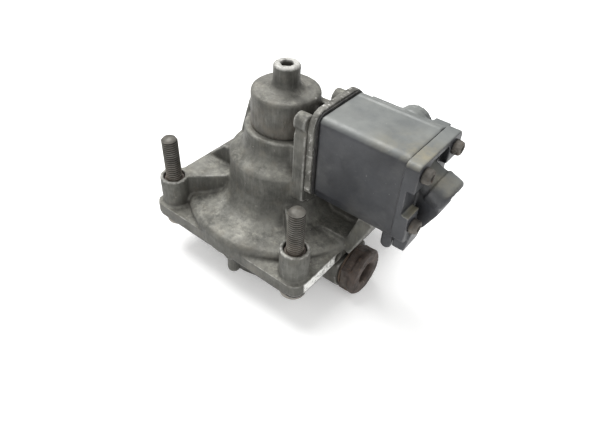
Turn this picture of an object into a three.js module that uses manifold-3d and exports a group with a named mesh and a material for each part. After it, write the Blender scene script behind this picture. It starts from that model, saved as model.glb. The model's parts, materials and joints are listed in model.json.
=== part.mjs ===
// Electro-pneumatic relay valve: a flanged, stepped aluminium tower with a relay piston and a
// double-seat valve inside, and a solenoid unit bolted to the side of the tower.
// Units are millimetres. +Z is up along the tower axis and the origin is where that axis meets
// the bottom plane. The solenoid unit and the supply port look towards +X.

import * as THREE from 'three';
import { mergeVertices } from 'three/addons/utils/BufferGeometryUtils.js';
import Module from 'manifold-3d';

const wasm = await Module();
wasm.setup();

// ---------------------------------------------------------------- driving dimensions

const BOLT_PITCH = 80;
const FLANGE_HALF = 48.8;
const FLANGE_CORNER_R = 6;
const JOINT_Z = 22;
const GASKET_T = 0.8;
const FLANGE_TOP_Z = 28.8;
const DISC_R = 50.3;
const DISC_TOP_Z = 33.5;

const TOWER_R = 27.8;
const TOWER_TOP_Z = 60.7;
const NECK_R = 20;
const NECK_TOP_Z = 75.4;
const CAP_R = 16.8;
const CAP_TOP_Z = 94.2;
const NUB_R = 6.4;
const NUB_TOP_Z = 106.2;
const NUB_HOLE_R = 3.35;
const CAP_BORE_R = 13;
const SPIGOT_R = 12.8;
const SPIGOT_BOTTOM_Z = 60;

const BOSS_R = 7.3;
const BOSS_TOP_Z = 45;
const BOSS_RECESS_R = 5.5;
const BOSS_RECESS_Z = 41.5;
const BOLT_R = 4.1;
const BOLT_TOP_Z = 68;
const BOLT_CLEAR_R = 4.5;
const WEB_T = 4.2;

const PISTON_BORE_R = 22;
const PISTON_R = 21.92;
const PISTON_BOTTOM_Z = 38;
const PISTON_TOP_Z = 46;
const CHAMBER_R = 38;
const CHAMBER_TOP_Z = 30.5;
const STEM_R = 6.5;

const LOWER_R = 38;
const LOWER_FLANGE_HALF = 47.6;
const LOWER_FLANGE_BOTTOM_Z = 19.4;
const SUPPLY_BORE_R = 20;
const SUPPLY_TOP_Z = 16;
const SEAT_BORE_R = 9;
const SEAT_Z = 15;

const PORT_Y = -5;
const PORT_Z = 13;
const PORT_COLLAR_R = 13;
const PORT_SEAT_X = 50.6;
const PORT_FACE_X = 60.5;
const PORT_BORE_R = 5.7;
const PORT_SHANK_R = 7.6;

const PAD_X = 26.8;
const PAD_TOP_Z = 91;
const LUG_R = 4.2;
const PLATE_T = 3.2;
const ARM_Z = [30, 36.2];
const ARM_HALF = 12.5;
const BOX_CLEAR_Z = 53.2;
const SEAL_T = 0.8;
const BOX_LENGTH = 42.9;
const BOX_WALL = 2.6;
const COVER_T = 6.5;
const BOX_Y = [-15.9, 18.1];
const BOX_Z = [54.5, 97.3];
const SCREW_Y = [-12.8, 13.4];
const SCREW_Z = [64.8, 91.5];
const HOOD_TILT = 20;
const HOOD_LENGTH = 16.6;
const HOOD_CORNER_R = 7;
const HOOD_END_R = 2;

const PLUG_R = 6.6;
const PLUG_X = 56.5;
const PLUG_Z = 88.4;
const PLUG_SEAT_Y = 21;

const ROUND = 40;
const MEDIUM = 20;
const SMALL = 12;

// ---------------------------------------------------------------- shape helpers

const CYCLE_TO_X = new THREE.Matrix4().set(0, 0, 1, 0, 1, 0, 0, 0, 0, 1, 0, 0, 0, 0, 0, 1);

/** Closed mesh to a solid that can be joined and cut. */
function solid(geometry) {
  const bare = geometry.clone();
  bare.deleteAttribute('normal');
  bare.deleteAttribute('uv');
  const merged = mergeVertices(bare, 1e-4);
  const index = merged.index.array;
  const kept = [];
  for (let i = 0; i < index.length; i += 3) {
    const [a, b, c] = [index[i], index[i + 1], index[i + 2]];
    if (a !== b && b !== c && c !== a) kept.push(a, b, c);
  }
  return new wasm.Manifold(new wasm.Mesh({
    numProp: 3,
    vertProperties: new Float32Array(merged.attributes.position.array),
    triVerts: new Uint32Array(kept),
  }));
}

/** Solid back to a mesh. */
function surface(body) {
  const mesh = body.getMesh();
  const geometry = new THREE.BufferGeometry();
  geometry.setAttribute('position', new THREE.BufferAttribute(new Float32Array(mesh.vertProperties), 3));
  geometry.setIndex(new THREE.BufferAttribute(new Uint32Array(mesh.triVerts), 1));
  geometry.computeVertexNormals();
  return geometry;
}

function join(...bodies) {
  return bodies.reduce((sum, body) => sum.add(body));
}

function cut(body, ...tools) {
  return tools.reduce((rest, tool) => rest.subtract(tool), body);
}

/** Body of revolution about Z from [radius, height] points taken anticlockwise. */
function revolve(points, segments = MEDIUM) {
  const profile = points.map(([r, z]) => new THREE.Vector2(r, z));
  return solid(new THREE.LatheGeometry(profile, segments).rotateX(Math.PI / 2));
}

function rod(radius, z0, z1, segments = MEDIUM) {
  return revolve([[0, z0], [radius, z0], [radius, z1], [0, z1]], segments);
}

function ring(outer, inner, z0, z1, segments = MEDIUM) {
  return revolve([[inner, z0], [outer, z0], [outer, z1], [inner, z1], [inner, z0]], segments);
}

function block([x0, x1], [y0, y1], [z0, z1]) {
  const geometry = new THREE.BoxGeometry(x1 - x0, y1 - y0, z1 - z0);
  return solid(geometry.translate((x0 + x1) / 2, (y0 + y1) / 2, (z0 + z1) / 2));
}

/** Rectangle outline with arcs at its corners: radii start at the low corner, anticlockwise. */
function roundedOutline([u0, u1], [v0, v1], radii) {
  const [a, b, c, d] = Array.isArray(radii) ? radii : [radii, radii, radii, radii];
  const shape = new THREE.Shape();
  shape.absarc(u0 + a, v0 + a, a, Math.PI, Math.PI * 1.5);
  shape.absarc(u1 - b, v0 + b, b, Math.PI * 1.5, Math.PI * 2);
  shape.absarc(u1 - c, v1 - c, c, 0, Math.PI / 2);
  shape.absarc(u0 + d, v1 - d, d, Math.PI / 2, Math.PI);
  return shape;
}

function polygon(points) {
  return new THREE.Shape(points.map(([u, v]) => new THREE.Vector2(u, v)));
}

/** Outline in X and Y, raised from z0 to z1. */
function raise(shape, z0, z1) {
  const options = { depth: z1 - z0, bevelEnabled: false, curveSegments: 4 };
  return solid(new THREE.ExtrudeGeometry(shape, options).translate(0, 0, z0));
}

/** Outline in Y and Z, pushed along X from x0 to x1. */
function pushX(shape, x0, x1) {
  const options = { depth: x1 - x0, bevelEnabled: false, curveSegments: 4 };
  return solid(new THREE.ExtrudeGeometry(shape, options).applyMatrix4(CYCLE_TO_X).translate(x0, 0, 0));
}

/** Outline in X and Z, pushed along Y from y0 to y1. */
function pushY(points, y0, y1) {
  const shape = polygon(points.map(([x, z]) => [z, x]));
  const options = { depth: y1 - y0, bevelEnabled: false };
  const geometry = new THREE.ExtrudeGeometry(shape, options);
  return solid(geometry.applyMatrix4(CYCLE_TO_X).applyMatrix4(CYCLE_TO_X).translate(0, y0, 0));
}

/** Round bar along X. */
function rodX(radius, x0, x1, y, z, segments = SMALL) {
  return rod(radius, x0, x1, segments).transform(frameTransform(CYCLE_TO_X)).translate([0, y, z]);
}

/** Round bar along Y. */
function rodY(radius, y0, y1, x, z, segments = SMALL) {
  const turn = new THREE.Matrix4().multiplyMatrices(CYCLE_TO_X, CYCLE_TO_X);
  return rod(radius, y0, y1, segments).transform(frameTransform(turn)).translate([x, 0, z]);
}

function frameTransform(matrix) {
  return matrix.elements.slice();
}

/** Helical spring with closed ends, standing on z0. */
function coilSpring(radius, wireR, turns, z0, z1) {
  class Helix extends THREE.Curve {
    getPoint(t, target = new THREE.Vector3()) {
      const angle = t * turns * Math.PI * 2;
      const z = z0 + wireR + t * (z1 - z0 - 2 * wireR);
      return target.set(radius * Math.cos(angle), radius * Math.sin(angle), z);
    }
  }
  const section = new THREE.Shape();
  section.absarc(0, 0, wireR, 0, Math.PI * 2);
  return new THREE.ExtrudeGeometry(section, {
    steps: Math.round(turns * 9),
    curveSegments: 3,
    bevelEnabled: false,
    extrudePath: new Helix(),
  });
}

// ---------------------------------------------------------------- finishes

function finish(color, roughness, metalness) {
  return new THREE.MeshStandardMaterial({ color, roughness, metalness });
}

const castAluminium = () => finish(0x6f6c66, 0.6, 0.7);
const machinedAluminium = () => finish(0xa5a6a4, 0.4, 0.9);
const boltSteel = () => finish(0x5d5750, 0.55, 0.8);
const rustySteel = () => finish(0x5a463c, 0.8, 0.5);
const brightSteel = () => finish(0xb4b6b8, 0.3, 1);
const darkPlastic = () => finish(0x3a3e44, 0.6, 0);
const paleResin = () => finish(0xcbbd9a, 0.6, 0);
const blackRubber = () => finish(0x17181a, 0.9, 0);
const copper = () => finish(0xa5562c, 0.4, 0.9);
const brass = () => finish(0xb08d4a, 0.4, 0.9);

const valve = new THREE.Group();

/** Names a solid or a closed mesh and puts it in a group. */
function place(group, name, shape, material) {
  const geometry = shape.isBufferGeometry ? shape : surface(shape);
  const mesh = new THREE.Mesh(geometry, material);
  mesh.name = name;
  group.add(mesh);
  return mesh;
}

// ---------------------------------------------------------------- bolt pattern

const HALF_PITCH = BOLT_PITCH / 2;
const CORNERS = [
  { name: 'front_left', x: -HALF_PITCH, y: -HALF_PITCH },
  { name: 'front_right', x: HALF_PITCH, y: -HALF_PITCH },
  { name: 'back_left', x: -HALF_PITCH, y: HALF_PITCH },
  { name: 'back_right', x: HALF_PITCH, y: HALF_PITCH },
];

// ---------------------------------------------------------------- upper housing

/** Stepped tower, from the disc on the flange to the neck under the cap. */
function towerProfile() {
  return [
    [0, JOINT_Z], [DISC_R - 1.2, JOINT_Z], [DISC_R, JOINT_Z + 1.5], [DISC_R, DISC_TOP_Z - 2],
    [DISC_R - 1.6, DISC_TOP_Z], [36, DISC_TOP_Z + 1.6], [32.5, DISC_TOP_Z + 3], [30.2, DISC_TOP_Z + 5.5],
    [28.8, DISC_TOP_Z + 9], [TOWER_R, DISC_TOP_Z + 13], [TOWER_R, TOWER_TOP_Z - 1.2],
    [TOWER_R - 1.2, TOWER_TOP_Z], [23.5, TOWER_TOP_Z + 1.6], [21, TOWER_TOP_Z + 4.2],
    [NECK_R, TOWER_TOP_Z + 7.5], [NECK_R, NECK_TOP_Z - 0.8], [NECK_R - 0.8, NECK_TOP_Z], [0, NECK_TOP_Z],
  ];
}

/** Thin wall on a diagonal, between the tower and a bolt boss. */
function diagonalWeb(corner) {
  const length = Math.hypot(corner.x, corner.y);
  const angle = Math.atan2(corner.y, corner.x) * 180 / Math.PI;
  const wall = block([0, length], [-WEB_T / 2, WEB_T / 2], [JOINT_Z, BOSS_TOP_Z]);
  return wall.rotate([0, 0, angle]);
}

/** Face that carries the solenoid unit, and the open arm that supports it from below. */
function solenoidBracket() {
  const pad = pushX(roundedOutline([-19.6, 17.5], [50, PAD_TOP_Z], [3, 3, 5, 5]), 20.4, PAD_X);
  const root = block([10, PAD_X], [-14, 14], [48, NECK_TOP_Z]);
  const lugs = [-16.6, 11].map((y) => rodX(LUG_R, 20.4, PAD_X, y, 93, MEDIUM));
  const arm = block([20, 50], [-ARM_HALF, ARM_HALF], ARM_Z);
  const web = block([20, 54], [1, 5], [ARM_Z[0], BOX_CLEAR_Z]);
  const strutOutline = [[47.8, 30], [52.4, 27], [63.4, BOX_CLEAR_Z], [54.6, BOX_CLEAR_Z]];
  const strut = pushY(strutOutline, -ARM_HALF, ARM_HALF);
  return join(pad, root, arm, web, strut, ...lugs);
}

/** Raised block with the delivery port, and the web beside the neck, away from the solenoid unit. */
function portBlock() {
  const outline = [[-41.2, -37.6], [-18, -15], [-18, 26], [-41.2, 37.6]];
  const plateau = raise(polygon(outline), JOINT_Z, BOSS_TOP_Z);
  const passage = pushY([
    [-15, NECK_TOP_Z], [-17.2, NECK_TOP_Z], [-17.2, 83.9], [-18.7, 83.9],
    [-24.8, 63.4], [-24.8, 58], [-15, 58],
  ], -5.5, -1.5);
  const rib = pushY([[-22, 56.5], [-29, 55.5], [-39.5, 46], [-39.5, 40], [-22, 40]], -15, -10.6);
  return join(plateau, passage, rib);
}

function buildUpperHousing() {
  const flange = raise(
    roundedOutline([-FLANGE_HALF, FLANGE_HALF], [-FLANGE_HALF, FLANGE_HALF], FLANGE_CORNER_R),
    JOINT_Z, FLANGE_TOP_Z,
  );
  const bosses = CORNERS.map(({ x, y }) => rod(BOSS_R, JOINT_Z, BOSS_TOP_Z, MEDIUM).translate([x, y, 0]));
  const webs = CORNERS.map(diagonalWeb);
  const outside = join(
    flange, revolve(towerProfile(), ROUND), solenoidBracket(), portBlock(), ...bosses, ...webs,
  );
  const boltHoles = CORNERS.flatMap(({ x, y }) => [
    rod(BOLT_CLEAR_R, 10, 60, SMALL).translate([x, y, 0]),
    rod(BOSS_RECESS_R, BOSS_RECESS_Z, 60, SMALL).translate([x, y, 0]),
  ]);
  return cut(
    outside,
    rod(CHAMBER_R, 10, CHAMBER_TOP_Z, ROUND),
    rod(PISTON_BORE_R, 20, 57, ROUND),
    rod(CAP_BORE_R, 50, 90, ROUND),
    block([PAD_X, 80], [-60, 60], [BOX_CLEAR_Z, 120]),
    rodX(2.6, 44, 60, -15.5, 25.4, SMALL),
    rodX(8, -60, -30, 0, 33.4, SMALL),
    rodX(3.2, 10, 40, 0, 70, SMALL),
    ...boltHoles,
  );
}

// ---------------------------------------------------------------- cap on the tower

function buildTopCap() {
  const body = revolve([
    [0, SPIGOT_BOTTOM_Z], [SPIGOT_R, SPIGOT_BOTTOM_Z], [SPIGOT_R, 70], [11.4, 70], [11.4, 72.6],
    [SPIGOT_R, 72.6], [SPIGOT_R, NECK_TOP_Z], [CAP_R, NECK_TOP_Z], [CAP_R, CAP_TOP_Z - 1.8],
    [CAP_R - 0.6, CAP_TOP_Z - 0.6], [CAP_R - 1.8, CAP_TOP_Z], [NUB_R + 2.6, CAP_TOP_Z + 0.3],
    [NUB_R + 0.8, CAP_TOP_Z + 1.6], [NUB_R, CAP_TOP_Z + 4.2], [NUB_R, NUB_TOP_Z - 0.9],
    [NUB_R - 0.9, NUB_TOP_Z], [0, NUB_TOP_Z],
  ], ROUND);
  const tab = block([8, 20.1], [8.2, 12.2], [85.4, 89]);
  return cut(join(body, tab), rod(10, 50, 86, MEDIUM), rod(NUB_HOLE_R, 80, 120, 6));
}

function addCap() {
  const group = new THREE.Group();
  place(group, 'top_cap', buildTopCap(), castAluminium());
  place(group, 'cap_seal_ring', ring(12.9, 11.5, 70.3, 72.3, ROUND), blackRubber());
  place(group, 'vent_filter', rod(2.6, 96, 102, SMALL), brass());
  valve.add(group);
}

// ---------------------------------------------------------------- lower housing

function buildLowerHousing() {
  const span = [-LOWER_FLANGE_HALF, LOWER_FLANGE_HALF];
  const flange = raise(
    roundedOutline(span, span, FLANGE_CORNER_R - 1.2), LOWER_FLANGE_BOTTOM_Z, JOINT_Z - GASKET_T,
  );
  const drum = revolve([
    [0, 0], [LOWER_R - 2, 0], [LOWER_R, 2], [LOWER_R + 1.5, JOINT_Z - GASKET_T], [0, JOINT_Z - GASKET_T],
  ], ROUND);
  const supplyBoss = rodX(14, 20, PORT_SEAT_X, PORT_Y, 14.2, MEDIUM);
  const stub = revolve([[0, 8.5], [2.4, 8.5], [3.4, 9.6], [3.4, 20], [0, 20]], SMALL)
    .translate([4.2, -43.6, 0]);
  const top = block([-60, 60], [-60, 60], [JOINT_Z - GASKET_T, 60]);
  const seatLip = ring(11, SEAT_BORE_R, SEAT_Z, SUPPLY_TOP_Z + 1, MEDIUM);
  const outside = cut(join(flange, drum, supplyBoss, stub), top, block([-60, 60], [-60, 60], [-20, 0]));
  const hollow = cut(
    outside,
    rod(SUPPLY_BORE_R, -1, SUPPLY_TOP_Z, ROUND),
    rod(21.2, 2.2, 3.5, ROUND),
    rodX(PORT_SHANK_R + 0.2, 36.5, 60, PORT_Y, PORT_Z, MEDIUM),
    rodX(6, 10, 60, PORT_Y, 9.4, MEDIUM),
    ...CORNERS.map(({ x, y }) => rod(BOLT_CLEAR_R, -10, 60, SMALL).translate([x, y, 0])),
  );
  return cut(join(hollow, seatLip), rod(SEAT_BORE_R, -1, 40, MEDIUM));
}

/** Outline of the joint between the two housings, open over the delivery chamber. */
function buildHousingGasket() {
  const half = LOWER_FLANGE_HALF + 0.7;
  const sheet = raise(
    roundedOutline([-half, half], [-half, half], FLANGE_CORNER_R - 0.6), JOINT_Z - GASKET_T, JOINT_Z,
  );
  const holes = CORNERS.map(({ x, y }) => rod(BOLT_CLEAR_R, 10, 60, SMALL).translate([x, y, 0]));
  return cut(sheet, rod(CHAMBER_R, 10, 60, ROUND), ...holes);
}

/** Long bolt from below, with a low round head and a chamfered end. */
function buildFlangeBolt() {
  const head = LOWER_FLANGE_BOTTOM_Z;
  return revolve([
    [0, head - 4.4], [5.4, head - 4.4], [6.6, head - 3.2], [6.6, head], [BOLT_R, head],
    [BOLT_R, BOLT_TOP_Z - 1.8], [BOLT_R - 1, BOLT_TOP_Z - 0.5], [BOLT_R - 2.2, BOLT_TOP_Z], [0, BOLT_TOP_Z],
  ], SMALL);
}

function buildBoltCollar() {
  const [low, top] = [BOSS_RECESS_Z + 0.2, BOSS_TOP_Z - 1.4];
  return revolve([[4.3, low], [5.2, low], [5.2, top - 0.5], [4.8, top], [4.3, top], [4.3, low]], SMALL);
}

function addHousings() {
  place(valve, 'upper_housing', buildUpperHousing(), castAluminium());
  place(valve, 'lower_housing', buildLowerHousing(), castAluminium());
  place(valve, 'housing_gasket', buildHousingGasket(), blackRubber());
  for (const { name, x, y } of CORNERS) {
    place(valve, `flange_bolt_${name}`, buildFlangeBolt(), boltSteel()).position.set(x, y, 0);
    place(valve, `bolt_collar_${name}`, buildBoltCollar(), rustySteel()).position.set(x, y, 0);
  }
}

// ---------------------------------------------------------------- relay piston and double-seat valve

function addRelayPiston() {
  const body = revolve([
    [0, SEAT_Z + 6], [4.6, SEAT_Z + 6], [4.6, SEAT_Z + 0.05], [5.6, SEAT_Z + 0.05], [STEM_R, SEAT_Z + 1.4],
    [STEM_R, PISTON_BOTTOM_Z - 2], [STEM_R + 2, PISTON_BOTTOM_Z], [PISTON_R, PISTON_BOTTOM_Z],
    [PISTON_R, 40.8], [20.2, 40.8], [20.2, 43.4], [PISTON_R, 43.4], [PISTON_R, PISTON_TOP_Z],
    [17, PISTON_TOP_Z], [15, PISTON_TOP_Z - 3], [7, PISTON_TOP_Z - 3], [5, PISTON_TOP_Z], [0, PISTON_TOP_Z],
  ], ROUND);
  place(valve, 'relay_piston', body, machinedAluminium());
  place(valve, 'piston_seal_ring', ring(21.94, 20.4, 41, 43.2, ROUND), blackRubber());
}

function addInletValve() {
  const sleeve = revolve([
    [3.5, 4.2], [6, 4.2], [6, 11.5], [12.5, 11.5], [12.5, 13.9], [3.5, 13.9], [3.5, 4.2],
  ]);
  place(valve, 'inlet_valve', sleeve, brightSteel());
  place(valve, 'valve_facing', ring(12.3, 3.7, 13.9, SEAT_Z), blackRubber());
  place(valve, 'valve_spring', coilSpring(10, 0.5, 3, 5.6, 11.4), brightSteel());
}

function addValveGuide() {
  const guide = revolve([
    [6.06, 3.6], [19.7, 3.6], [19.7, 4.4], [18.6, 4.4], [18.6, 6.4], [19.7, 6.4], [19.7, 7.4], [17, 7.4],
    [16, 5.5], [8.2, 5.5], [8.2, 8.7], [6.06, 8.7], [6.06, 3.6],
  ]);
  place(valve, 'valve_guide', guide, darkPlastic());
  place(valve, 'guide_seal_ring', ring(19.9, 18.7, 4.6, 6.2), blackRubber());
  const clip = cut(ring(20.9, 17.4, 2.5, 3.4, ROUND), block([-30, 0], [-3, 3], [0, 10]));
  place(valve, 'guide_circlip', clip, brightSteel());
}

/** Perforated shield under the exhaust, flush with the bottom plane. */
function addExhaustShield() {
  const dish = revolve([[0, 0], [16.4, 0], [16.4, 3.5], [15, 3.5], [15, 1.3], [0, 1.3]]);
  const slots = [];
  for (let i = 0; i < 8; i += 1) {
    slots.push(block([6, 13], [-1.2, 1.2], [-1, 2]).rotate([0, 0, i * 45]));
  }
  place(valve, 'exhaust_shield', cut(dish, ...slots), blackRubber());
}

// ---------------------------------------------------------------- supply port

/** Screwed adapter: a hexagon behind a round collar, on a shank in the supply boss. */
function addPortAdapter() {
  const group = new THREE.Group();
  group.position.set(0, PORT_Y, PORT_Z);
  const shank = rodX(PORT_SHANK_R, 38, PORT_SEAT_X + 2, 0, 0, MEDIUM);
  const hexagon = rodX(13.2, PORT_SEAT_X + 1.2, 57, 0, 0, 6);
  const collar = revolve([
    [0, 56.6], [PORT_COLLAR_R - 1, 56.6], [PORT_COLLAR_R, 57.4], [PORT_COLLAR_R, PORT_FACE_X - 1.2],
    [PORT_COLLAR_R - 1.2, PORT_FACE_X], [PORT_BORE_R + 1, PORT_FACE_X], [PORT_BORE_R, PORT_FACE_X - 1],
    [0, PORT_FACE_X - 1],
  ]).transform(frameTransform(CYCLE_TO_X));
  const adapter = cut(join(shank, hexagon, collar), rodX(PORT_BORE_R, 30, 70, 0, 0, MEDIUM));
  place(group, 'port_adapter', adapter, rustySteel());
  const washer = rodX(11.6, PORT_SEAT_X + 0.1, PORT_SEAT_X + 1.1, 0, 0, MEDIUM);
  const seal = cut(washer, rodX(PORT_SHANK_R + 0.4, 40, 55, 0, 0, MEDIUM));
  place(group, 'port_seal_washer', seal, copper());
  valve.add(group);
}

// ---------------------------------------------------------------- solenoid unit

const PLATE_X = PAD_X + PLATE_T;
const BOX_X = PLATE_X + SEAL_T;
const COVER_X = BOX_X + BOX_LENGTH;
const COIL_X = BOX_X + 21;
const COIL_Y = (BOX_Y[0] + BOX_Y[1]) / 2;

/** Section of the solenoid box: rounded above, with a drafted skirt below. */
function boxOutline(inset) {
  const [y0, y1] = [BOX_Y[0] + inset, BOX_Y[1] - inset];
  const [z0, z1] = [BOX_Z[0] + inset, BOX_Z[1] - inset];
  const corner = 4 - inset;
  const skirt = 1.6;
  const shape = new THREE.Shape();
  shape.moveTo(y0 + skirt, z0);
  shape.lineTo(y1 - skirt, z0);
  shape.lineTo(y1, z0 + 5);
  shape.absarc(y1 - corner, z1 - corner, corner, 0, Math.PI / 2);
  shape.absarc(y0 + corner, z1 - corner, corner, Math.PI / 2, Math.PI);
  shape.lineTo(y0, z0 + 5);
  return shape;
}

function addInterface() {
  const plate = pushX(roundedOutline([-18.2, 19.8], [56, 99.2], [3, 3, 8, 8]), PAD_X, PLATE_X);
  place(valve, 'interface_plate', cut(plate, rodX(3.2, 20, 40, 0, 70)), machinedAluminium());
  const sheet = pushX(roundedOutline([-17, 19], [55.4, 98.2], [3, 3, 6, 6]), PLATE_X, BOX_X);
  place(valve, 'interface_gasket', cut(sheet, rodX(3.2, 20, 40, 0, 70)), blackRubber());
}

function screwPlaces() {
  return SCREW_Y.flatMap((y) => SCREW_Z.map((z) => ({ y, z })));
}

function buildSolenoidHousing() {
  const shell = cut(
    pushX(boxOutline(0), BOX_X, COVER_X),
    pushX(boxOutline(BOX_WALL), BOX_X + BOX_WALL, COVER_X + 5),
  );
  const pillars = screwPlaces().map(({ y, z }) => rodX(3.4, COVER_X - 12, COVER_X - 0.6, y, z));
  const plugBore = rodY(PLUG_R + 0.3, BOX_Y[1] - 6, 40, PLUG_X, PLUG_Z, MEDIUM);
  const plugBoss = rodY(PLUG_R + 2.2, BOX_Y[1] - 1, PLUG_SEAT_Y, PLUG_X, PLUG_Z, MEDIUM);
  const ledge = block([66, COVER_X - 0.4], [BOX_Y[1] - 1, 22.6], [88, 95.2]);
  const shelf = block([BOX_X + 4, 67], [BOX_Y[1] - 1, 20.4], [92.6, 95]);
  const rail = block(
    [BOX_X + 1.5, COVER_X - 0.4], [BOX_Y[1] - 6, BOX_Y[1] - 4.6], [BOX_Z[1] - 0.3, BOX_Z[1] + 0.5],
  );
  const hanger = join(
    block([67.8, 73.2], [-13.6, -9], [48, 57]),
    rodY(2.7, -13.6, -9, 70.5, 48, SMALL),
  );
  const keepInside = pushX(boxOutline(0.4), BOX_X, COVER_X);
  const posts = pillars.map((post) => post.intersect(keepInside));
  return cut(
    join(shell, plugBoss, ledge, shelf, rail, hanger, ...posts),
    plugBore,
    rodX(3.2, 20, BOX_X + 5, 0, 70),
    ...screwPlaces().map(({ y, z }) => rodX(2.2, COVER_X - 10, COVER_X + 5, y, z)),
  );
}

/** Turns a solid built along X down about the root of the connector. */
function tipConnector(body) {
  const [rootX, rootZ] = [COVER_X + 3, 80.6];
  return body.translate([-rootX, 0, -rootZ]).rotate([0, HOOD_TILT, 0]).translate([rootX, 0, rootZ]);
}

/** Outline of the connector hood across its length, drawn in by inset all round. */
function hoodOutline(inset) {
  return roundedOutline([inset - 8, 9 - inset], [74 + inset, 88.4 - inset], HOOD_CORNER_R - inset);
}

/** Connector hood along X: a narrower root, then a round collar whose end is rounded over. */
function buildHood(mouth) {
  const root = pushX(hoodOutline(0.9), COVER_X + 1, COVER_X + 9);
  const collar = [0, 25, 50, 75].map((degrees) => {
    const turn = THREE.MathUtils.degToRad(degrees);
    const inset = HOOD_END_R * (1 - Math.cos(turn));
    return pushX(hoodOutline(inset), COVER_X + 8, mouth - HOOD_END_R * (1 - Math.sin(turn)));
  });
  return join(root, ...collar);
}

/** End cover with screw lands, a sunk field between them and the tipped connector hood. */
function buildEndCover() {
  const face = COVER_X + COVER_T;
  const plate = pushX(roundedOutline([-18.2, 19.4], [56.6, 97.3], [3, 3, 3, 3]), COVER_X, face);
  const foot = pushY([[COVER_X, 60], [COVER_X, 48.6], [face - 0.6, 48.6], [face + 1.2, 60]], -13.4, -1);
  const sunk = pushX(roundedOutline([-8.4, 9], [58, 94.2], 2.5), face - 3.6, face + 5);
  const sideSunk = pushX(roundedOutline([-20, 21], [71.5, 84.5], 3), face - 3.6, face + 5);
  const lands = cut(join(plate, foot), sunk, sideSunk);
  const mouth = COVER_X + HOOD_LENGTH;
  const socket = pushX(roundedOutline([-5.6, 6.6], [76, 86.4], [3, 3, 4.6, 4.6]), COVER_X + 5.5, mouth + 10);
  const braceOutline = [[2, 76], [2, 58], [9, 59.6], [14, 70], [12.6, 76]].map(([x, z]) => [COVER_X + x, z]);
  const brace = pushY(braceOutline, -6, 7);
  const behindCover = block([0, COVER_X], [-40, 40], [0, 140]);
  const outside = join(lands, cut(tipConnector(buildHood(mouth)), behindCover), brace);
  return cut(
    outside,
    tipConnector(socket),
    ...screwPlaces().map(({ y, z }) => rodX(2.5, COVER_X - 5, face + 5, y, z)),
  );
}

function buildCoverScrew() {
  const face = COVER_X + COVER_T;
  const head = revolve([
    [0, face], [3.4, face], [3.5, face + 0.8], [3.2, face + 3], [2.6, face + 3.6], [0, face + 3.6],
  ], SMALL).transform(frameTransform(CYCLE_TO_X));
  const shank = rodX(2, COVER_X - 9, face + 1, 0, 0, SMALL);
  return cut(join(head, shank), rodX(1.7, face + 1.8, face + 6, 0, 0, 6));
}

function addSolenoidCase() {
  place(valve, 'solenoid_housing', buildSolenoidHousing(), darkPlastic());
  place(valve, 'end_cover', buildEndCover(), darkPlastic());
  screwPlaces().forEach(({ y, z }, i) => {
    place(valve, `cover_screw_${i + 1}`, buildCoverScrew(), boltSteel()).position.set(0, y, z);
  });
  const plug = join(
    rodY(PLUG_R, PLUG_SEAT_Y - 6, PLUG_SEAT_Y, PLUG_X, PLUG_Z, MEDIUM),
    rodY(PLUG_R + 1.9, PLUG_SEAT_Y, PLUG_SEAT_Y + 3, PLUG_X, PLUG_Z, MEDIUM),
    rodY(PLUG_R + 0.9, PLUG_SEAT_Y + 3, PLUG_SEAT_Y + 4.4, PLUG_X, PLUG_Z, MEDIUM),
  );
  place(valve, 'rear_plug', plug, darkPlastic());
}

/** Coil, iron circuit and armature, standing upright in the box. */
function addSolenoid() {
  const group = new THREE.Group();
  group.position.set(COIL_X, COIL_Y, 0);
  place(group, 'coil_bobbin', revolve([
    [6.4, 64], [11.2, 64], [11.2, 65.6], [7.6, 65.6], [7.6, 84.4], [11.2, 84.4], [11.2, 86], [6.4, 86],
    [6.4, 64],
  ]), paleResin());
  place(group, 'coil_winding', ring(10.8, 7.8, 65.8, 84.2), copper());
  const frame = cut(
    block([-8, 8], [-13.6, 13.6], [61.6, 88.4]),
    block([-20, 20], [-11.4, 11.4], [63.8, 86.2]),
    rod(6.3, 60, 64, MEDIUM),
    rod(4.2, 80, 100, MEDIUM),
  );
  place(group, 'yoke_frame', frame, boltSteel());
  const core = revolve([
    [0, 78], [2.6, 78], [2.6, 76.2], [6.1, 76.2], [6.1, 86.1], [4, 86.1], [4, 91], [0, 91],
  ]);
  place(group, 'fixed_core', core, brightSteel());
  const armature = revolve([
    [0, 63.4], [3.2, 63.4], [3.2, 61.6], [6.05, 61.6], [6.05, 74.6], [2.6, 74.6], [2.6, 69], [0, 69],
  ]);
  place(group, 'armature', armature, brightSteel());
  place(group, 'armature_seal', rod(3.1, 61.4, 63.3, SMALL), blackRubber());
  place(group, 'armature_spring', coilSpring(1.8, 0.3, 6, 69.05, 77.95), brightSteel());
  const nozzle = revolve([
    [0, 57.2], [6.2, 57.2], [6.2, 59.4], [2.4, 59.4], [2.4, 61.35], [0.8, 61.35], [0.8, 58.6], [0, 58.6],
  ]);
  place(group, 'valve_nozzle', nozzle, brass());
  valve.add(group);
}

/** Contact pins in the floor of the connector socket. */
function addPins() {
  [-2.4, 0.5, 3.4].forEach((y, i) => {
    const pin = tipConnector(rodX(0.8, COVER_X + 5.6, COVER_X + 13, y, 81.2, SMALL));
    place(valve, `contact_pin_${i + 1}`, pin, brass());
  });
}

// ---------------------------------------------------------------- assembly

addHousings();
addCap();
addRelayPiston();
addInletValve();
addValveGuide();
addExhaustShield();
addPortAdapter();
addInterface();
addSolenoidCase();
addSolenoid();
addPins();

export default valve;
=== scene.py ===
"""Looks of an electro-pneumatic relay valve: weathered castings, threaded bolts, a dusty solenoid unit.

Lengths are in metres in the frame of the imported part: +Z up the tower, +X towards the connector.
"""
import json

import bmesh
import bpy
import numpy as np
from mathutils import Matrix, Vector


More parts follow.
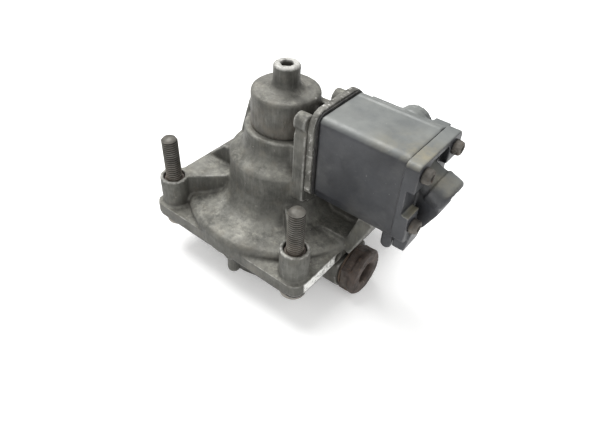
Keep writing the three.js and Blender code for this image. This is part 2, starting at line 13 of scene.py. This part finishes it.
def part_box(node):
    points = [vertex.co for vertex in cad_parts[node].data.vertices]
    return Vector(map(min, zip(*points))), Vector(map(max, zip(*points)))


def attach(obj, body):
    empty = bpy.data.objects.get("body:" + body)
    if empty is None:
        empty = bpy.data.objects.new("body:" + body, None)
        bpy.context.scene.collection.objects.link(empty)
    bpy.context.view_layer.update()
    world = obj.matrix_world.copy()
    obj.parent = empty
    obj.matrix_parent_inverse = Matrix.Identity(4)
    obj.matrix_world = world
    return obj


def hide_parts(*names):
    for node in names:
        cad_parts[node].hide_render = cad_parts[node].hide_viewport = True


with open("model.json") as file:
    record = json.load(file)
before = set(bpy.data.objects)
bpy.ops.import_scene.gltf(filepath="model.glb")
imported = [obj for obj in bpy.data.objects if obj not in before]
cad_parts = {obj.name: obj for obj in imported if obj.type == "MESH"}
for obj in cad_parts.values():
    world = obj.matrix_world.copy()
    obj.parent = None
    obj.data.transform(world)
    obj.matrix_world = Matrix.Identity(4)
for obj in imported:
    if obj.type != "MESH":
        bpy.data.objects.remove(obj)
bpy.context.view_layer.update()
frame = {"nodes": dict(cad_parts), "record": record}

MM = 0.001

# ------------------------------------------------------------------ camera, light and floor

CAMERA_PLACE = Vector((138.32, -173.74, 214.56)) * MM
CAMERA_RIGHT = Vector((0.78287, 0.62030, 0.04837))
CAMERA_UP = Vector((-0.44767, 0.50760, 0.73616))
LENS_MM = 31.6
FLOOR_SIZE = 4.0


def add_camera():
    camera = bpy.data.objects.new("camera", bpy.data.cameras.new("camera"))
    bpy.context.scene.collection.objects.link(camera)
    back = CAMERA_RIGHT.cross(CAMERA_UP)
    pose = Matrix((CAMERA_RIGHT, CAMERA_UP, back)).transposed().to_4x4()
    pose.translation = CAMERA_PLACE
    camera.matrix_world = pose
    camera.data.lens = LENS_MM
    camera.data.clip_start = 0.01
    bpy.context.scene.camera = camera


def add_light(name, place, watts, size):
    light = bpy.data.lights.new(name, "AREA")
    light.energy = watts
    light.size = size
    lamp = bpy.data.objects.new(name, light)
    bpy.context.scene.collection.objects.link(lamp)
    lamp.location = place
    lamp.rotation_euler = (Vector((0, 0, 0.05)) - Vector(place)).to_track_quat("-Z", "Y").to_euler()


def add_studio():
    add_light("window", (-0.45, 0.15, 1.0), 16, 0.8)
    add_light("fill", (0.75, -0.45, 0.75), 3.6, 1.0)
    add_light("front", (-0.5, -0.8, 0.5), 2.2, 0.8)
    world = bpy.data.worlds.new("studio")
    world.use_nodes = True
    background = world.node_tree.nodes["Background"]
    background.inputs["Color"].default_value = (1, 1, 1, 1)
    background.inputs["Strength"].default_value = 0.47
    bpy.context.scene.world = world
    bpy.context.scene.view_settings.view_transform = "Standard"
    bpy.ops.mesh.primitive_plane_add(size=FLOOR_SIZE)
    floor = bpy.context.object
    floor.name = "floor"
    paper = plain("floor_paper", (0.93, 0.93, 0.925), 0.8)
    shader = paper.node_tree.nodes["Principled BSDF"]
    shader.inputs["Emission Color"].default_value = (1, 1, 1, 1)
    shader.inputs["Emission Strength"].default_value = 0.22
    floor.data.materials.append(paper)


# ------------------------------------------------------------------ material building blocks


def plain(name, color, roughness):
    material = bpy.data.materials.new(name)
    material.use_nodes = True
    shader = material.node_tree.nodes["Principled BSDF"]
    shader.inputs["Base Color"].default_value = (*color, 1)
    shader.inputs["Roughness"].default_value = roughness
    return material


class Finish:
    """A material under construction: small calls add nodes and return their output sockets."""

    def __init__(self, name, metallic=0.0, coat=0.0):
        self.material = bpy.data.materials.new(name)
        self.material.use_nodes = True
        self.tree = self.material.node_tree
        self.shader = self.tree.nodes["Principled BSDF"]
        self.shader.inputs["Metallic"].default_value = metallic
        self.shader.inputs["Coat Weight"].default_value = coat
        self.coords = self.add("ShaderNodeTexCoord").outputs["Object"]
        self.geometry = self.add("ShaderNodeNewGeometry")

    def add(self, kind, **settings):
        node = self.tree.nodes.new(kind)
        for key, value in settings.items():
            setattr(node, key, value)
        return node

    def plug(self, value, socket):
        if hasattr(value, "links"):
            self.tree.links.new(value, socket)
        else:
            socket.default_value = value

    def noise(self, scale, detail=4.0, rough=0.55, coords=None):
        """Fractal noise, 0 to 1, with features about 1/scale metres across."""
        node = self.add("ShaderNodeTexNoise")
        self.plug(coords or self.coords, node.inputs["Vector"])
        node.inputs["Scale"].default_value = scale
        node.inputs["Detail"].default_value = detail
        node.inputs["Roughness"].default_value = rough
        return node.outputs["Fac"]

    def cells(self, scale):
        node = self.add("ShaderNodeTexVoronoi", feature="F1")
        self.plug(self.coords, node.inputs["Vector"])
        node.inputs["Scale"].default_value = scale
        return node.outputs["Distance"]

    def ramp(self, value, low, high, out_low=0.0, out_high=1.0):
        """Carries value from low..high to out_low..out_high, held at both ends."""
        node = self.add("ShaderNodeMapRange")
        self.plug(value, node.inputs["Value"])
        for name, number in zip(("From Min", "From Max", "To Min", "To Max"), (low, high, out_low, out_high)):
            node.inputs[name].default_value = number
        return node.outputs["Result"]

    def math(self, operation, a, b=0.0):
        node = self.add("ShaderNodeMath", operation=operation)
        self.plug(a, node.inputs[0])
        self.plug(b, node.inputs[1])
        node.use_clamp = operation in ("MULTIPLY", "ADD")
        return node.outputs[0]

    def mix(self, amount, a, b):
        """Colour a where amount is 0, colour b where it is 1."""
        node = self.add("ShaderNodeMix", data_type="RGBA")
        self.plug(amount, node.inputs["Factor"])
        colors = [socket for socket in node.inputs if socket.type == "RGBA"]
        for socket, color in zip(colors, (a, b)):
            self.plug((*color, 1) if isinstance(color, tuple) else color, socket)
        return next(socket for socket in node.outputs if socket.type == "RGBA")

    def stretched(self, along):
        """Object coordinates squeezed along Z, so that noise on them runs in upright streaks."""
        node = self.add("ShaderNodeMapping")
        self.plug(self.coords, node.inputs["Vector"])
        node.inputs["Scale"].default_value = (1, 1, along)
        return node.outputs["Vector"]

    def axis(self, name, source=None):
        node = self.add("ShaderNodeSeparateXYZ")
        self.plug(source or self.coords, node.inputs[0])
        return node.outputs[name]

    def facing_up(self, low=0.25, high=0.95):
        return self.ramp(self.axis("Z", self.geometry.outputs["Normal"]), low, high)

    def edges(self, low=0.52, high=0.62):
        """1 on convex edges of a dense mesh."""
        return self.ramp(self.geometry.outputs["Pointiness"], low, high)

    def shelter(self, distance, low=0.9, high=0.35):
        """1 deep in corners and under ledges, worked out from the open sky at each point; the mask for
        painted shade.
        """
        node = self.add("ShaderNodeAmbientOcclusion", samples=8)
        node.inputs["Distance"].default_value = distance
        return self.ramp(node.outputs["AO"], low, high)

    def bump(self, height, depth, strength=1.0, under=None):
        node = self.add("ShaderNodeBump")
        self.plug(height, node.inputs["Height"])
        node.inputs["Distance"].default_value = depth
        node.inputs["Strength"].default_value = strength
        if under is not None:
            self.plug(under, node.inputs["Normal"])
        return node.outputs["Normal"]

    def done(self, color, roughness, normal=None):
        self.plug(color, self.shader.inputs["Base Color"])
        self.plug(roughness, self.shader.inputs["Roughness"])
        if normal is not None:
            self.plug(normal, self.shader.inputs["Normal"])
        return self.material


# ------------------------------------------------------------------ finishes

ROAD_DUST = (0.35, 0.342, 0.295)
BARE_METAL = (0.62, 0.61, 0.58)


def weathered_casting(name, dust_amount=0.55, tone=(0.140, 0.138, 0.122)):
    """Oxidised die-cast aluminium: mottled grey-brown skin, pale dust on ledges, rubbed bright edges, painted
    shade on the sides and in corners.
    """
    f = Finish(name, metallic=0.35)
    dark = tuple(0.42 * value for value in tone)
    pale = tuple(1.27 * value for value in tone)
    brown = (tone[0] * 0.98, tone[1] * 0.88, tone[2] * 0.76)
    mottle = f.ramp(f.noise(75, 7, 0.68), 0.34, 0.66)
    skin = f.mix(mottle, dark, pale)
    upright = f.ramp(f.axis("Z", f.geometry.outputs["Normal"]), 0.5, 0.1)
    streaks = f.ramp(f.noise(620, 4, 0.7, f.stretched(0.16)), 0.46, 0.7, 0, 0.5)
    skin = f.mix(f.math("MULTIPLY", upright, streaks), skin, (0.26, 0.255, 0.23))
    # Upright and downward faces are darkened towards near-black by a quarter or more everywhere: painted
    # shade on the sides, with patchy grime over it.
    side_shade_and_grime = f.ramp(f.noise(48, 5, 0.6), 0.3, 0.62, 0.24, 0.62)
    skin = f.mix(f.math("MULTIPLY", upright, side_shade_and_grime), skin, (0.036, 0.036, 0.031))
    skin = f.mix(f.ramp(f.noise(140, 5, 0.65), 0.52, 0.74, 0, 0.45), skin, brown)
    stain = f.ramp(f.noise(26, 4), 0.55, 0.75, 0, 0.55)
    skin = f.mix(stain, skin, (0.085, 0.08, 0.07))
    grit = f.ramp(f.noise(480, 6, 0.75), 0.40, 0.66)
    ledge = f.math("MULTIPLY", f.facing_up(0.3, 0.9), f.ramp(f.noise(85, 5, 0.7), 0.38, 0.62))
    dust = f.math("MULTIPLY", f.math("MULTIPLY", ledge, grit), dust_amount)
    skin = f.mix(dust, skin, ROAD_DUST)
    # Corners and the areas under ledges are darkened towards near-black from the occlusion mask: painted
    # shade.
    corner_shade = f.math("MULTIPLY", f.shelter(0.006, 0.82, 0.4), 0.62)
    skin = f.mix(corner_shade, skin, (0.055, 0.05, 0.042))
    worn = f.math("MULTIPLY", f.edges(0.525, 0.58), f.ramp(f.noise(210, 4, 0.7), 0.38, 0.58))
    skin = f.mix(f.math("MULTIPLY", worn, 0.7), skin, BARE_METAL)
    fleck = f.ramp(f.noise(430, 4, 0.6), 0.68, 0.78, 0, 0.5)
    skin = f.mix(fleck, skin, (0.46, 0.44, 0.40))
    rough = f.ramp(f.noise(160, 4), 0.3, 0.7, 0.5, 0.74)
    grain = f.bump(f.noise(1500, 3, 0.6), 0.00018, 0.55)
    pits = f.bump(f.ramp(f.cells(420), 0.0, 0.22), 0.00025, 0.45, grain)
    waves = f.bump(f.noise(120, 4), 0.0008, 0.5, pits)
    return f, skin, rough, waves


RUBBED_Y = (-0.0435, -0.0175)
RUBBED_Z = (0.0224, 0.0288)


def casting_with_rubbed_flange():
    """The upper casting, with the bright filed patch on its +X flange face."""
    f, skin, rough, normal = weathered_casting("cast_upper", 0.62)
    along = f.axis("Y")
    high = f.axis("Z")
    outward = f.ramp(f.axis("X", f.geometry.outputs["Normal"]), 0.55, 0.85)
    ends = f.math("MULTIPLY", f.ramp(along, RUBBED_Y[0], -0.0425), f.ramp(along, RUBBED_Y[1], -0.0190))
    band = f.math("MULTIPLY", f.ramp(high, RUBBED_Z[0], 0.0230), f.ramp(high, RUBBED_Z[1], 0.0280))
    out_of_hub = f.ramp(f.axis("X"), 0.0462, 0.0470)
    patch = f.math("MULTIPLY", f.math("MULTIPLY", ends, band), f.math("MULTIPLY", outward, out_of_hub))
    scuff = f.ramp(f.noise(650, 4, 0.75), 0.35, 0.50, 0.12, 1.0)
    skin = f.mix(f.math("MULTIPLY", patch, scuff), skin, (0.86, 0.86, 0.83))
    return f.done(skin, rough, normal)


def casting(name, dust, tone):
    f, skin, rough, normal = weathered_casting(name, dust, tone)
    return f.done(skin, rough, normal)


def cap_casting():
    """The cap: as the tower, browner down its side, with a nub rubbed bright round its hole."""
    f, skin, rough, normal = weathered_casting("cast_cap", 0.5, (0.143, 0.140, 0.124))
    brown_side = f.math("MULTIPLY", f.ramp(f.axis("Z"), 0.094, 0.086), f.ramp(f.noise(70, 4), 0.4, 0.65))
    skin = f.mix(f.math("MULTIPLY", brown_side, 0.5), skin, (0.105, 0.088, 0.068))
    top = f.ramp(f.axis("Z"), 0.1048, 0.1059)
    rubbed = f.math("MULTIPLY", top, f.ramp(f.noise(420, 4, 0.7), 0.36, 0.56))
    skin = f.mix(rubbed, skin, (0.45, 0.445, 0.42))
    return f.done(skin, rough, normal)


def rubbed_plate():
    """The plate and pad edge: paler than the casting, scraped bright at its corners."""
    f = Finish("plate_metal", metallic=0.45)
    skin = f.mix(f.ramp(f.noise(120, 6), 0.35, 0.68), (0.085, 0.083, 0.073), (0.20, 0.195, 0.175))
    skin = f.mix(f.ramp(f.noise(480, 4, 0.7), 0.56, 0.68, 0, 0.8), skin, (0.58, 0.57, 0.54))
    worn = f.math("MULTIPLY", f.edges(0.53, 0.585), f.ramp(f.noise(260, 4, 0.7), 0.4, 0.6))
    skin = f.mix(f.math("MULTIPLY", worn, 0.85), skin, (0.66, 0.66, 0.64))
    rough = f.ramp(f.noise(200, 4), 0.3, 0.7, 0.42, 0.66)
    return f.done(skin, rough, f.bump(f.noise(900, 4, 0.6), 0.00025, 0.5))


def dusty_plastic(name="case_plastic", stained=False):
    """Glass-filled black plastic: greyed and blue above, partly where it has faded and partly as painted
    light, charcoal on its sides as painted shade.
    """
    f = Finish(name)
    dark = f.mix(f.ramp(f.noise(45, 5), 0.35, 0.68), (0.013, 0.014, 0.017), (0.032, 0.034, 0.039))
    faded_and_lit_top = f.mix(f.ramp(f.noise(70, 5), 0.35, 0.65), (0.118, 0.126, 0.124), (0.182, 0.190, 0.180))
    # Pale colour on top faces and dark colour on side faces: painted light on top and painted shade on the
    # sides, over some real fading.
    skin = f.mix(f.facing_up(0.35, 0.92), dark, faded_and_lit_top)
    film = f.math("MULTIPLY", f.ramp(f.noise(32, 5, 0.6), 0.5, 0.72), 0.5)
    skin = f.mix(film, skin, (0.105, 0.104, 0.098))
    if stained:
        near_cover = f.ramp(f.axis("X"), 0.050, 0.074)
        front = f.ramp(f.axis("Y"), 0.008, -0.010)
        patchy = f.ramp(f.noise(95, 5, 0.65), 0.38, 0.62)
        stain = f.math("MULTIPLY", f.math("MULTIPLY", near_cover, front), patchy)
        settled = f.math("MULTIPLY", f.math("MULTIPLY", stain, f.facing_up()), 0.75)
        skin = f.mix(settled, skin, (0.25, 0.225, 0.155))
    worn = f.math("MULTIPLY", f.edges(0.53, 0.59), f.ramp(f.noise(240, 4, 0.7), 0.42, 0.6))
    skin = f.mix(f.math("MULTIPLY", worn, 0.6), skin, (0.30, 0.295, 0.28))
    speck = f.ramp(f.noise(640, 2), 0.72, 0.79, 0, 0.3)
    skin = f.mix(speck, skin, (0.33, 0.32, 0.29))
    # Corners and the areas under ledges are darkened to near-black from the occlusion mask: painted shade.
    corner_shade = f.math("MULTIPLY", f.shelter(0.006, 0.8, 0.35), 0.6)
    skin = f.mix(corner_shade, skin, (0.014, 0.014, 0.014))
    rough = f.ramp(f.noise(150, 4), 0.3, 0.7, 0.36, 0.6)
    grain = f.bump(f.noise(2200, 2, 0.6), 0.00008, 0.4)
    return f.done(skin, rough, f.bump(f.noise(150, 4), 0.0004, 0.35, grain))


def rust(name, tone=(0.088, 0.067, 0.056), metallic=0.15):
    """Brown scale: layered orange, umber and near-black patches with a blistered surface."""
    f = Finish(name, metallic=metallic)
    skin = f.mix(f.ramp(f.noise(160, 6), 0.35, 0.66), tuple(0.45 * value for value in tone), tone)
    skin = f.mix(f.ramp(f.noise(420, 5, 0.65), 0.54, 0.7, 0, 0.55), skin, (0.145, 0.092, 0.062))
    skin = f.mix(f.ramp(f.noise(90, 4), 0.56, 0.72, 0, 0.6), skin, (0.15, 0.135, 0.115))
    worn = f.math("MULTIPLY", f.edges(0.54, 0.62), f.ramp(f.noise(380, 4, 0.7), 0.45, 0.62))
    skin = f.mix(f.math("MULTIPLY", worn, 0.5), skin, (0.33, 0.29, 0.25))
    rough = f.ramp(f.noise(300, 4), 0.3, 0.7, 0.62, 0.88)
    scale = f.bump(f.noise(700, 5, 0.7), 0.0005, 0.7)
    return f.done(skin, rough, scale)


def thread_steel():
    """Bolt thread: dull brown-grey steel, painted shade in the roots and a painted highlight on the crests.
    """
    f = Finish("thread_steel", metallic=0.55)
    skin = f.mix(f.ramp(f.noise(190, 5), 0.35, 0.66), (0.062, 0.058, 0.050), (0.135, 0.130, 0.114))
    skin = f.mix(f.ramp(f.noise(520, 4, 0.65), 0.56, 0.7, 0, 0.45), skin, (0.115, 0.084, 0.058))
    low_rust = f.math("MULTIPLY", f.ramp(f.axis("Z"), 0.056, 0.046), f.ramp(f.noise(240, 4), 0.35, 0.6))
    skin = f.mix(f.math("MULTIPLY", low_rust, 0.6), skin, (0.20, 0.165, 0.13))
    # Thread roots are darkened towards near-black by their depth: painted shade.
    roots = f.ramp(f.add("ShaderNodeAttribute", attribute_name="root").outputs["Fac"], 0.3, 0.75)
    skin = f.mix(f.math("MULTIPLY", roots, 0.9), skin, (0.016, 0.014, 0.012))
    # Thread crests are lightened towards pale grey: painted highlight.
    crest_highlight = f.math("MULTIPLY", f.edges(0.53, 0.6), 0.5)
    skin = f.mix(crest_highlight, skin, (0.40, 0.38, 0.345))
    rough = f.ramp(f.noise(260, 4), 0.3, 0.7, 0.42, 0.7)
    return f.done(skin, rough, f.bump(f.noise(1400, 3, 0.65), 0.00012, 0.5))


def turned(name, color, roughness, metallic=1.0):
    """Machined metal seen only when the valve is opened: fine scatter of tone and polish."""
    f = Finish(name, metallic=metallic)
    dull = tuple(0.75 * value for value in color)
    skin = f.mix(f.ramp(f.noise(300, 4), 0.35, 0.65), dull, color)
    return f.done(skin, f.ramp(f.noise(500, 3), 0.3, 0.7, roughness - 0.08, roughness + 0.12),
                  f.bump(f.noise(2500, 2), 0.00005, 0.3))


def rubber():
    f = Finish("seal_rubber")
    skin = f.mix(f.ramp(f.noise(200, 4), 0.35, 0.65), (0.014, 0.014, 0.014), (0.034, 0.033, 0.031))
    skin = f.mix(f.ramp(f.noise(380, 4, 0.7), 0.55, 0.7, 0, 0.5), skin, (0.11, 0.103, 0.09))
    return f.done(skin, f.ramp(f.noise(350, 3), 0.3, 0.7, 0.65, 0.85), f.bump(f.noise(1200, 3), 0.0001, 0.4))


# ------------------------------------------------------------------ mesh building blocks


def to_object(name, vertices, faces, material, smooth=True):
    mesh = bpy.data.meshes.new(name)
    mesh.from_pydata(vertices.tolist(), [], faces.tolist() if hasattr(faces, "tolist") else faces)
    mesh.update()
    mesh.materials.append(material)
    mesh.shade_smooth() if smooth else mesh.shade_flat()
    piece = bpy.data.objects.new(name, mesh)
    bpy.context.scene.collection.objects.link(piece)
    return piece


def stands_for(piece, node):
    """Puts piece in place of a node, on that node's body."""
    body = next(name for name, nodes in frame["record"]["behaviour"]["bodies"].items() if node in nodes)
    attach(piece, body)
    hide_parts(node)
    return piece


def lumps(points, size, seed):
    """Smooth random height at each point: a sum of sines in random directions, with wavelengths near size."""
    draws = np.random.default_rng(seed)
    height = np.zeros(len(points))
    for _ in range(9):
        direction = draws.normal(size=3)
        direction *= 2 * np.pi / (size * draws.uniform(0.6, 1.7) * np.linalg.norm(direction))
        height += np.sin(points @ direction + draws.uniform(0, 2 * np.pi))
    return height / 3


def read_points(mesh):
    points = np.empty(len(mesh.vertices) * 3)
    mesh.vertices.foreach_get("co", points)
    return points.reshape(-1, 3)


def read_normals(mesh):
    normals = np.empty(len(mesh.vertices) * 3)
    mesh.vertices.foreach_get("normal", normals)
    return normals.reshape(-1, 3)


def cast_copy(node, name, material, voxel, rounding, roughness_mm, seed):
    """A node's shape as a die casting: its merged mesh is refilled with even voxels, its corners are
    relaxed by repeated averaging, and each point is moved along its normal by smooth random lumps."""
    source = frame["nodes"][node]
    mesh = source.data.copy()
    piece = bpy.data.objects.new(name, mesh)
    bpy.context.scene.collection.objects.link(piece)
    build = bmesh.new()
    build.from_mesh(mesh)
    bmesh.ops.remove_doubles(build, verts=build.verts, dist=1e-6)
    build.to_mesh(mesh)
    build.free()
    remesh = piece.modifiers.new("refill", "REMESH")
    remesh.mode = "VOXEL"
    remesh.voxel_size = voxel * MM
    remesh.adaptivity = 0
    relax = piece.modifiers.new("relax", "SMOOTH")
    relax.factor = 0.5
    relax.iterations = rounding
    shaped = bpy.data.meshes.new_from_object(piece.evaluated_get(bpy.context.evaluated_depsgraph_get()))
    piece.modifiers.clear()
    piece.data = shaped
    points, normals = read_points(shaped), read_normals(shaped)
    height = 0.6 * lumps(points, 0.006, seed) + 0.4 * lumps(points, 0.0022, seed + 1)
    low, high = (np.array(corner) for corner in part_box(node))
    moved = points + normals * (height[:, None] - 0.4) * roughness_mm * MM
    shaped.vertices.foreach_set("co", np.clip(moved, low, high).ravel())
    shaped.update()
    shaped.materials.clear()
    shaped.materials.append(material)
    shaped.shade_smooth()
    return piece


def true_bore(piece, radius, low, high, reach):
    """Puts each point near the wall of a bore about the tower's axis exactly on the bore's radius."""
    points = read_points(piece.data)
    distance = np.hypot(points[:, 0], points[:, 1])
    near = (np.abs(distance - radius) < reach) & (points[:, 2] > low) & (points[:, 2] < high)
    points[near, :2] *= (radius / distance[near])[:, None]
    piece.data.vertices.foreach_set("co", points.ravel())
    piece.data.update()


THREAD_LENGTH = 24 * MM


def thread_bolt(name, place, radius, low, high, head_radius, head_height, pitch, material):
    """Bolt as one surface of angle a and length s along a profile. On the thread the radius is the crest
    radius less depth times a triangle wave of (height / pitch - a / 2 pi), so the ridge is a helix; the
    wave fades out towards the plain shank and the chamfered end."""
    around, depth = 40, 0.61 * pitch * 0.85
    thread_low, thread_high = high - THREAD_LENGTH, high - 0.0013
    steps = int((thread_high - thread_low) / pitch * 9)
    plain_r, plain_z = [], []
    profile = (
        (0, -head_height), (head_radius - 0.0012, -head_height), (head_radius, -head_height + 0.0012),
        (head_radius, 0), (radius, 0), (radius, thread_low - low),
    )
    for r, z in profile:
        plain_r.append(r)
        plain_z.append(low + z)
    threaded = np.linspace(thread_low, thread_high, steps + 1)[1:]
    heights = np.concatenate([plain_z, threaded, [high - 0.0006, high - 0.0001, high]])
    base = np.concatenate([plain_r, np.full(steps, radius), [radius - 0.0009, radius - 0.0021, 0]])
    fade_in = np.clip((heights - thread_low) / pitch, 0, 1)
    fade_out = np.clip((thread_high + pitch - heights) / pitch, 0, 1)
    blend = fade_in * fade_out
    blend[:len(plain_r)] = 0
    blend[-3:] = 0
    angle = np.linspace(0, 2 * np.pi, around, endpoint=False)
    phase = (heights[:, None] / pitch - angle[None, :] / (2 * np.pi)) % 1
    wave = np.abs(2 * phase - 1)
    r = np.maximum(base[:, None] - depth * wave * blend[:, None], 0)
    grid = np.stack([r * np.cos(angle), r * np.sin(angle), np.repeat(heights[:, None], around, 1)], -1)
    points = grid.reshape(-1, 3) + np.array([place[0], place[1], 0])
    piece = to_object(name, points, ring_faces(len(heights), around), material)
    # Depth into each thread root, from which thread_steel paints shade.
    root = piece.data.attributes.new("root", "FLOAT", "POINT")
    root.data.foreach_set("value", (wave * blend[:, None]).ravel())
    weld(piece)
    return piece


def ring_faces(rows, around):
    """Quads of a grid whose second direction closes on itself, facing away from the axis."""
    i = np.arange(rows - 1)[:, None] * around
    j = np.arange(around)[None, :]
    k = (j + 1) % around
    return np.stack([i + j, i + k, i + around + k, i + around + j], -1).reshape(-1, 4)


def weld(piece):
    """Joins points that coincide, as the poles of a turned surface do, and drops the faces lost by it."""
    build = bmesh.new()
    build.from_mesh(piece.data)
    bmesh.ops.remove_doubles(build, verts=build.verts, dist=2e-6)
    bmesh.ops.dissolve_degenerate(build, edges=build.edges, dist=1e-7)
    bmesh.ops.recalc_face_normals(build, faces=build.faces)
    build.to_mesh(piece.data)
    build.free()
    piece.data.shade_smooth()


# ------------------------------------------------------------------ finishes for nodes that keep their shape

INNER = {
    "black_rubber": rubber(),
    "bright_steel": turned("ground_steel", (0.62, 0.62, 0.63), 0.32),
    "machined_aluminium": turned("machined_aluminium", (0.55, 0.55, 0.53), 0.4),
    "copper": turned("copper_wire", (0.60, 0.28, 0.14), 0.42),
    "brass": turned("turned_brass", (0.60, 0.45, 0.20), 0.36),
    "pale_resin": turned("coil_resin", (0.60, 0.53, 0.38), 0.5, 0.0),
    "dark_plastic": dusty_plastic("guide_plastic"),
    "bolt_steel": thread_steel(),
    "rusty_steel": rust("collar_rust"),
    "cast_aluminium": casting("cast_plain", 0.5, (0.140, 0.138, 0.122)),
}


DULLED = {
    "port_seal_washer": turned("tarnished_copper", (0.13, 0.095, 0.07), 0.6, 0.4),
    "vent_filter": turned("clogged_bronze", (0.05, 0.043, 0.033), 0.8, 0.2),
}


def finish_kept_nodes():
    for entry in frame["record"]["subparts"]:
        mesh = frame["nodes"][entry["node"]].data
        mesh.materials.clear()
        mesh.materials.append(DULLED.get(entry["node"], INNER[entry["material_slot"]]))


# ------------------------------------------------------------------ castings, case and fasteners

PISTON_CLEARANCE = 0.1 * MM
PISTON_TRAVEL = 4 * MM


def add_castings():
    rows = (
        ("upper_housing", "upper_casting", casting_with_rubbed_flange(), 0.8, 1, 0.05, 11),
        (
            "lower_housing", "lower_casting", casting("cast_lower", 0.35, (0.11, 0.108, 0.096)),
            0.9, 1, 0.05, 21,
        ),
        ("top_cap", "cap_casting", cap_casting(), 0.45, 2, 0.045, 31),
    )
    for node, name, material, voxel, rounding, lump, seed in rows:
        piece = cast_copy(node, name, material, voxel, rounding, lump, seed)
        if node == "upper_housing":
            low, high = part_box("relay_piston")
            wall = high[0] + PISTON_CLEARANCE
            true_bore(piece, wall, low[2] - PISTON_TRAVEL, high[2] + PISTON_TRAVEL, MM)
        stands_for(piece, node)


def add_solenoid_case():
    rows = (
        ("solenoid_housing", "case_shell", dusty_plastic("case_faded_lit_top", stained=True), 0.55, 3, 0.03, 41),
        ("end_cover", "case_cover", dusty_plastic("cover_faded_lit_top", stained=True), 0.42, 3, 0.03, 51),
        ("rear_plug", "case_plug", dusty_plastic("plug_faded_lit_top"), 0.4, 3, 0.02, 61),
    )
    for node, name, material, voxel, rounding, lump, seed in rows:
        stands_for(cast_copy(node, name, material, voxel, rounding, lump, seed), node)
    plate = cast_copy("interface_plate", "mounting_plate", rubbed_plate(), 0.35, 3, 0.04, 71)
    stands_for(plate, "interface_plate")


def add_port_adapter():
    adapter = cast_copy("port_adapter", "rusty_adapter", rust("adapter_rust"), 0.4, 3, 0.09, 81)
    stands_for(adapter, "port_adapter")


BOLT_NODES = [f"flange_bolt_{row}_{side}" for row in ("front", "back") for side in ("left", "right")]
THREAD_PITCH = 1.25 * MM
HEAD_HEIGHT = 4.4 * MM


def add_bolts():
    steel = thread_steel()
    for node in BOLT_NODES:
        low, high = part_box(node)
        place = ((low[0] + high[0]) / 2, (low[1] + high[1]) / 2)
        head_radius = (high[0] - low[0]) / 2 - 0.0001
        bolt = thread_bolt(
            f"threaded_{node}", place, 4.1 * MM, low[2] + HEAD_HEIGHT, high[2],
            head_radius, HEAD_HEIGHT, THREAD_PITCH, steel,
        )
        stands_for(bolt, node)


def add_screws():
    material = rust("screw_rust", (0.150, 0.138, 0.122), 0.35)
    for number in range(1, 5):
        node = f"cover_screw_{number}"
        screw = cast_copy(node, f"worn_{node}", material, 0.22, 3, 0.05, 90 + number)
        stands_for(screw, node)


add_camera()
finish_kept_nodes()
add_castings()
add_solenoid_case()
add_port_adapter()
add_bolts()
add_screws()
add_studio()
